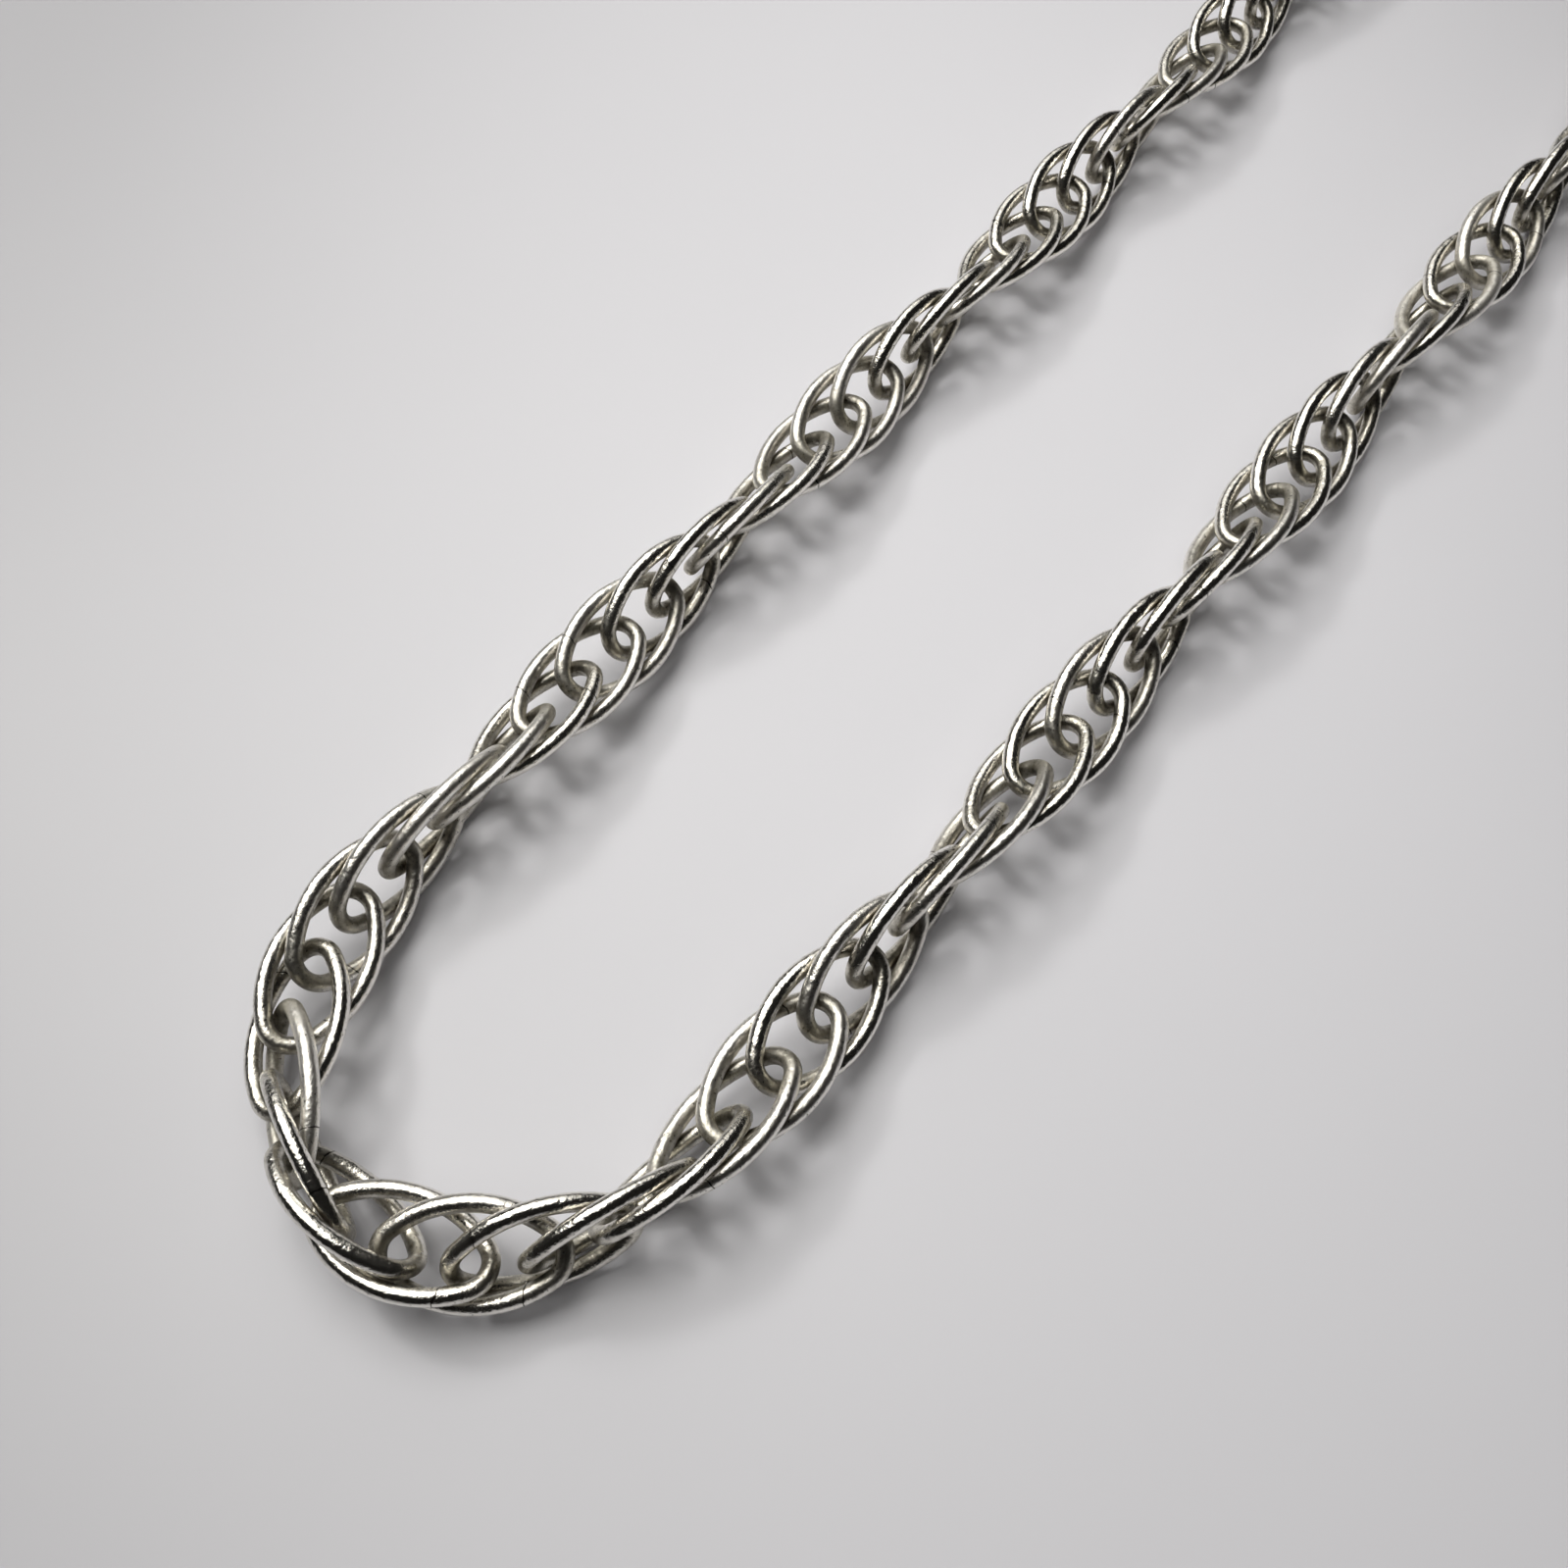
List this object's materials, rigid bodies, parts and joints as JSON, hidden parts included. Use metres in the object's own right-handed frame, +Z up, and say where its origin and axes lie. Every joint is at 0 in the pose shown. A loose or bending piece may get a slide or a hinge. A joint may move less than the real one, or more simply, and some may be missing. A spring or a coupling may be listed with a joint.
{
  "type": "chain necklace",
  "caption": "Spiral four-in-one chain necklace of closed oval wire links, laid in a U with its bolt-ring clasp undone.",
  "frame": {"origin": "middle of the laid necklace, on the surface that it lies on", "axes": "+X along the two branches, away from the bend; +Y from the right branch to the left branch; +Z up"},
  "size_m": [0.2464, 0.0533, 0.009],
  "materials": {
    "link_wire": "polished silver, lightly tarnished",
    "ring_wire": "polished silver",
    "clasp_tube": "polished silver",
    "clasp_parts": "polished silver",
    "spring_wire": "drawn wire"
  },
  "bodies": {
    "link_middle": {"link_middle": "link_wire"},
    "link_right_1": {"link_right_1": "link_wire"},
    "link_right_2": {"link_right_2": "link_wire"},
    "link_right_3": {"link_right_3": "link_wire"},
    "link_right_4": {"link_right_4": "link_wire"},
    "link_right_5": {"link_right_5": "link_wire"},
    "link_right_6": {"link_right_6": "link_wire"},
    "link_right_7": {"link_right_7": "link_wire"},
    "link_right_8": {"link_right_8": "link_wire"},
    "link_right_9": {"link_right_9": "link_wire"},
    "link_right_10": {"link_right_10": "link_wire"},
    "link_right_11": {"link_right_11": "link_wire"},
    "link_right_12": {"link_right_12": "link_wire"},
    "link_right_13": {"link_right_13": "link_wire"},
    "link_right_14": {"link_right_14": "link_wire"},
    "link_right_15": {"link_right_15": "link_wire"},
    "link_right_16": {"link_right_16": "link_wire"},
    "link_right_17": {"link_right_17": "link_wire"},
    "link_right_18": {"link_right_18": "link_wire"},
    "link_right_19": {"link_right_19": "link_wire"},
    "link_right_20": {"link_right_20": "link_wire"},
    "links_right_21_to_24": {"links_right_21_to_24": "link_wire"},
    "links_right_25_to_28": {"links_right_25_to_28": "link_wire"},
    "links_right_29_to_32": {"links_right_29_to_32": "link_wire"},
    "links_right_33_to_36": {"links_right_33_to_36": "link_wire"},
    "links_right_37_to_40": {"links_right_37_to_40": "link_wire"},
    "link_left_1": {"link_left_1": "link_wire"},
    "link_left_2": {"link_left_2": "link_wire"},
    "link_left_3": {"link_left_3": "link_wire"},
    "link_left_4": {"link_left_4": "link_wire"},
    "link_left_5": {"link_left_5": "link_wire"},
    "link_left_6": {"link_left_6": "link_wire"},
    "link_left_7": {"link_left_7": "link_wire"},
    "link_left_8": {"link_left_8": "link_wire"},
    "link_left_9": {"link_left_9": "link_wire"},
    "link_left_10": {"link_left_10": "link_wire"},
    "link_left_11": {"link_left_11": "link_wire"},
    "link_left_12": {"link_left_12": "link_wire"},
    "link_left_13": {"link_left_13": "link_wire"},
    "link_left_14": {"link_left_14": "link_wire"},
    "link_left_15": {"link_left_15": "link_wire"},
    "link_left_16": {"link_left_16": "link_wire"},
    "link_left_17": {"link_left_17": "link_wire"},
    "link_left_18": {"link_left_18": "link_wire"},
    "link_left_19": {"link_left_19": "link_wire"},
    "link_left_20": {"link_left_20": "link_wire"},
    "links_left_21_to_24": {"links_left_21_to_24": "link_wire"},
    "links_left_25_to_28": {"links_left_25_to_28": "link_wire"},
    "links_left_29_to_32": {"links_left_29_to_32": "link_wire"},
    "links_left_33_to_36": {"links_left_33_to_36": "link_wire"},
    "clasp_jump_ring": {"clasp_jump_ring": "ring_wire"},
    "clasp": {"clasp_case": "clasp_tube", "clasp_loop": "clasp_parts", "clasp_spring": "spring_wire"},
    "clasp_bolt": {"clasp_bolt": "clasp_parts", "clasp_thumb_stud": "clasp_parts"},
    "catch_jump_ring": {"catch_jump_ring": "ring_wire"},
    "catch_ring": {"catch_ring": "ring_wire"}
  },
  "joints": [
    {"name": "link_right_1_swing", "type": "hinge", "parent": "link_middle", "child": "link_right_1", "pos_m": [-0.11894, -0.00102, 0.0045], "axis": [-0.4945, -0.0331, -0.8685], "range_deg": [-3, 3]},
    {"name": "link_right_2_swing", "type": "hinge", "parent": "link_right_1", "child": "link_right_2", "pos_m": [-0.11721, -0.00587, 0.0045], "axis": [0.094, 0.1152, -0.9889], "range_deg": [-3, 3]},
    {"name": "link_right_3_swing", "type": "hinge", "parent": "link_right_2", "child": "link_right_3", "pos_m": [-0.114, -0.00995, 0.0045], "axis": [0.447, 0.5299, -0.7206], "range_deg": [-3, 3]},
    {"name": "link_right_4_swing", "type": "hinge", "parent": "link_right_3", "child": "link_right_4", "pos_m": [-0.1097, -0.01298, 0.0045], "axis": [0.4426, 0.8704, -0.2155], "range_deg": [-3, 3]},
    {"name": "link_right_5_swing", "type": "hinge", "parent": "link_right_4", "child": "link_right_5", "pos_m": [-0.10471, -0.01491, 0.0045], "axis": [0.2535, 0.9137, 0.3176], "range_deg": [-3, 3]},
    {"name": "link_right_6_swing", "type": "hinge", "parent": "link_right_5", "child": "link_right_6", "pos_m": [-0.09935, -0.01593, 0.0045], "axis": [0.0866, 0.6742, 0.7334], "range_deg": [-3, 3]},
    {"name": "link_right_7_swing", "type": "hinge", "parent": "link_right_6", "child": "link_right_7", "pos_m": [-0.09381, -0.01633, 0.0045], "axis": [0.0139, 0.2647, 0.9642], "range_deg": [-3, 3]},
    {"name": "link_right_8_swing", "type": "hinge", "parent": "link_right_7", "child": "link_right_8", "pos_m": [-0.08818, -0.01648, 0.0045], "axis": [-0.0032, -0.2036, 0.979], "range_deg": [-6, 6]},
    {"name": "link_right_9_swing", "type": "hinge", "parent": "link_right_8", "child": "link_right_9", "pos_m": [-0.08252, -0.01657, 0.0045], "axis": [-0.01, -0.6272, 0.7788], "range_deg": [-6, 6]},
    {"name": "link_right_10_swing", "type": "hinge", "parent": "link_right_9", "child": "link_right_10", "pos_m": [-0.07686, -0.01666, 0.0045], "axis": [-0.0145, -0.9131, 0.4075], "range_deg": [-6, 6]},
    {"name": "link_right_11_swing", "type": "hinge", "parent": "link_right_10", "child": "link_right_11", "pos_m": [-0.0712, -0.01675, 0.0045], "axis": [-0.0158, -0.9985, -0.0532], "range_deg": [-6, 6]},
    {"name": "link_right_12_swing", "type": "hinge", "parent": "link_right_11", "child": "link_right_12", "pos_m": [-0.06554, -0.01684, 0.0045], "axis": [-0.0137, -0.8646, -0.5023], "range_deg": [-6, 6]},
    {"name": "link_right_13_swing", "type": "hinge", "parent": "link_right_12", "child": "link_right_13", "pos_m": [-0.05988, -0.01693, 0.0045], "axis": [-0.0086, -0.5409, -0.841], "range_deg": [-6, 6]},
    {"name": "link_right_14_swing", "type": "hinge", "parent": "link_right_13", "child": "link_right_14", "pos_m": [-0.05422, -0.01702, 0.0045], "axis": [-0.0016, -0.0984, -0.9951], "range_deg": [-6, 6]},
    {"name": "link_right_15_swing", "type": "hinge", "parent": "link_right_14", "child": "link_right_15", "pos_m": [-0.04856, -0.01711, 0.0045], "axis": [0.0058, 0.3656, -0.9307], "range_deg": [-6, 6]},
    {"name": "link_right_16_swing", "type": "hinge", "parent": "link_right_15", "child": "link_right_16", "pos_m": [-0.0429, -0.0172, 0.0045], "axis": [0.0119, 0.7494, -0.662], "range_deg": [-6, 6]},
    {"name": "link_right_17_swing", "type": "hinge", "parent": "link_right_16", "child": "link_right_17", "pos_m": [-0.03724, -0.01728, 0.0045], "axis": [0.0154, 0.9687, -0.2478], "range_deg": [-6, 6]},
    {"name": "link_right_18_swing", "type": "hinge", "parent": "link_right_17", "child": "link_right_18", "pos_m": [-0.03159, -0.01738, 0.0045], "axis": [0.0155, 0.9752, 0.2207], "range_deg": [-6, 6]},
    {"name": "link_right_19_swing", "type": "hinge", "parent": "link_right_18", "child": "link_right_19", "pos_m": [-0.02593, -0.01747, 0.0045], "axis": [0.0122, 0.7676, 0.6408], "range_deg": [-6, 6]},
    {"name": "link_right_20_swing", "type": "hinge", "parent": "link_right_19", "child": "link_right_20", "pos_m": [-0.02027, -0.01756, 0.0045], "axis": [0.0062, 0.3915, 0.9202], "range_deg": [-6, 6]},
    {"name": "links_right_21_to_24_swing", "type": "hinge", "parent": "link_right_20", "child": "links_right_21_to_24", "pos_m": [-0.01461, -0.01765, 0.0045], "axis": [-0.0011, -0.0706, 0.9975], "range_deg": [-6, 6]},
    {"name": "links_right_25_to_28_swing", "type": "hinge", "parent": "links_right_21_to_24", "child": "links_right_25_to_28", "pos_m": [0.00803, -0.018, 0.0045], "axis": [-0.0147, -0.9241, -0.3819], "range_deg": [-6, 6]},
    {"name": "links_right_29_to_32_swing", "type": "hinge", "parent": "links_right_25_to_28", "child": "links_right_29_to_32", "pos_m": [0.03067, -0.01836, 0.0045], "axis": [0.0104, 0.654, -0.7564], "range_deg": [-6, 6]},
    {"name": "links_right_33_to_36_swing", "type": "hinge", "parent": "links_right_29_to_32", "child": "links_right_33_to_36", "pos_m": [0.0533, -0.01872, 0.0045], "axis": [0.0081, 0.5112, 0.8594], "range_deg": [-6, 6]},
    {"name": "links_right_37_to_40_swing", "type": "hinge", "parent": "links_right_33_to_36", "child": "links_right_37_to_40", "pos_m": [0.07594, -0.01908, 0.0045], "axis": [-0.0155, -0.9767, 0.2139], "range_deg": [-6, 6]},
    {"name": "link_left_1_swing", "type": "hinge", "parent": "link_middle", "child": "link_left_1", "pos_m": [-0.11894, 0.00411, 0.0045], "axis": [-0.9116, 0.1819, -0.3685], "range_deg": [-3, 3]},
    {"name": "link_left_2_swing", "type": "hinge", "parent": "link_left_1", "child": "link_left_2", "pos_m": [-0.11721, 0.00897, 0.0045], "axis": [-0.8424, 0.453, 0.2917], "range_deg": [-3, 3]},
    {"name": "link_left_3_swing", "type": "hinge", "parent": "link_left_2", "child": "link_left_3", "pos_m": [-0.114, 0.01304, 0.0045], "axis": [-0.4333, 0.4115, 0.8018], "range_deg": [-3, 3]},
    {"name": "link_left_4_swing", "type": "hinge", "parent": "link_left_3", "child": "link_left_4", "pos_m": [-0.1097, 0.01607, 0.0045], "axis": [-0.0561, 0.0304, 0.998], "range_deg": [-3, 3]},
    {"name": "link_left_5_swing", "type": "hinge", "parent": "link_left_4", "child": "link_left_5", "pos_m": [-0.10471, 0.018, 0.0045], "axis": [0.1016, -0.4629, 0.8806], "range_deg": [-3, 3]},
    {"name": "link_left_6_swing", "type": "hinge", "parent": "link_left_5", "child": "link_left_6", "pos_m": [-0.09935, 0.01902, 0.0045], "axis": [0.0871, -0.8416, 0.533], "range_deg": [-3, 3]},
    {"name": "link_left_7_swing", "type": "hinge", "parent": "link_left_6", "child": "link_left_7", "pos_m": [-0.09381, 0.01942, 0.0045], "axis": [0.035, -0.9972, 0.0664], "range_deg": [-3, 3]},
    {"name": "link_left_8_swing", "type": "hinge", "parent": "link_left_7", "child": "link_left_8", "pos_m": [-0.08818, 0.01957, 0.0045], "axis": [0.0145, -0.9119, -0.4102], "range_deg": [-6, 6]},
    {"name": "link_left_9_swing", "type": "hinge", "parent": "link_left_8", "child": "link_left_9", "pos_m": [-0.08252, 0.01966, 0.0045], "axis": [0.0097, -0.6126, -0.7903], "range_deg": [-6, 6]},
    {"name": "link_left_10_swing", "type": "hinge", "parent": "link_left_9", "child": "link_left_10", "pos_m": [-0.07686, 0.01975, 0.0045], "axis": [0.0027, -0.1699, -0.9855], "range_deg": [-6, 6]},
    {"name": "link_left_11_swing", "type": "hinge", "parent": "link_left_10", "child": "link_left_11", "pos_m": [-0.0712, 0.01984, 0.0045], "axis": [-0.005, 0.3126, -0.9499], "range_deg": [-6, 6]},
    {"name": "link_left_12_swing", "type": "hinge", "parent": "link_left_11", "child": "link_left_12", "pos_m": [-0.06554, 0.01993, 0.0045], "axis": [-0.0115, 0.7219, -0.6919], "range_deg": [-6, 6]},
    {"name": "link_left_13_swing", "type": "hinge", "parent": "link_left_12", "child": "link_left_13", "pos_m": [-0.05988, 0.02002, 0.0045], "axis": [-0.0153, 0.9622, -0.272], "range_deg": [-6, 6]},
    {"name": "link_left_14_swing", "type": "hinge", "parent": "link_left_13", "child": "link_left_14", "pos_m": [-0.05422, 0.02011, 0.0045], "axis": [-0.0155, 0.9772, 0.2116], "range_deg": [-6, 6]},
    {"name": "link_left_15_swing", "type": "hinge", "parent": "link_left_14", "child": "link_left_15", "pos_m": [-0.04856, 0.0202, 0.0045], "axis": [-0.0121, 0.7635, 0.6457], "range_deg": [-6, 6]},
    {"name": "link_left_16_swing", "type": "hinge", "parent": "link_left_15", "child": "link_left_16", "pos_m": [-0.0429, 0.02029, 0.0045], "axis": [-0.0059, 0.371, 0.9286], "range_deg": [-6, 6]},
    {"name": "link_left_17_swing", "type": "hinge", "parent": "link_left_16", "child": "link_left_17", "pos_m": [-0.03724, 0.02038, 0.0045], "axis": [0.0017, -0.1083, 0.9941], "range_deg": [-6, 6]},
    {"name": "link_left_18_swing", "type": "hinge", "parent": "link_left_17", "child": "link_left_18", "pos_m": [-0.03159, 0.02047, 0.0045], "axis": [0.0089, -0.5623, 0.8269], "range_deg": [-6, 6]},
    {"name": "link_left_19_swing", "type": "hinge", "parent": "link_left_18", "child": "link_left_19", "pos_m": [-0.02593, 0.02056, 0.0045], "axis": [0.014, -0.8846, 0.4661], "range_deg": [-6, 6]},
    {"name": "link_left_20_swing", "type": "hinge", "parent": "link_left_19", "child": "link_left_20", "pos_m": [-0.02027, 0.02065, 0.0045], "axis": [0.0159, -0.9999, -0.0038], "range_deg": [-6, 6]},
    {"name": "links_left_21_to_24_swing", "type": "hinge", "parent": "link_left_20", "child": "links_left_21_to_24", "pos_m": [-0.01461, 0.02074, 0.0045], "axis": [0.014, -0.881, -0.4728], "range_deg": [-6, 6]},
    {"name": "links_left_25_to_28_swing", "type": "hinge", "parent": "links_left_21_to_24", "child": "links_left_25_to_28", "pos_m": [0.00803, 0.02109, 0.0045], "axis": [-0.0122, 0.7684, -0.6399], "range_deg": [-6, 6]},
    {"name": "links_left_29_to_32_swing", "type": "hinge", "parent": "links_left_25_to_28", "child": "links_left_29_to_32", "pos_m": [0.03067, 0.02145, 0.0045], "axis": [-0.0048, 0.3054, 0.9522], "range_deg": [-6, 6]},
    {"name": "links_left_33_to_36_swing", "type": "hinge", "parent": "links_left_29_to_32", "child": "links_left_33_to_36", "pos_m": [0.0533, 0.02181, 0.0045], "axis": [0.0158, -0.9972, -0.0735], "range_deg": [-6, 6]},
    {"name": "clasp_jump_ring_swing", "type": "hinge", "parent": "links_right_37_to_40", "child": "clasp_jump_ring", "pos_m": [0.10267, -0.01951, 0.0045], "axis": [0.0159, 0.9999, 0], "range_deg": [-40, 40]},
    {"name": "clasp_swing", "type": "hinge", "parent": "clasp_jump_ring", "child": "clasp", "pos_m": [0.10705, -0.01957, 0.0045], "axis": [0, 0, 1], "range_deg": [-45, 45]},
    {"name": "catch_jump_ring_swing", "type": "hinge", "parent": "links_left_33_to_36", "child": "catch_jump_ring", "pos_m": [0.08004, 0.02224, 0.0045], "axis": [-0.0159, 0.9999, 0], "range_deg": [-40, 40]},
    {"name": "catch_ring_swing", "type": "hinge", "parent": "catch_jump_ring", "child": "catch_ring", "pos_m": [0.08441, 0.02231, 0.0045], "axis": [0, 0, 1], "range_deg": [-45, 45]},
    {"name": "clasp_bolt_slide", "type": "hinge", "parent": "clasp", "child": "clasp_bolt", "pos_m": [0.1164, -0.01972, 0.00247], "axis": [0.1876, -0.003, 0.9822], "range_deg": [0, 60], "stiffness_Nm_per_rad": 0.008, "springref_deg": -20.05, "deforming": ["clasp_spring"]}
  ]
}
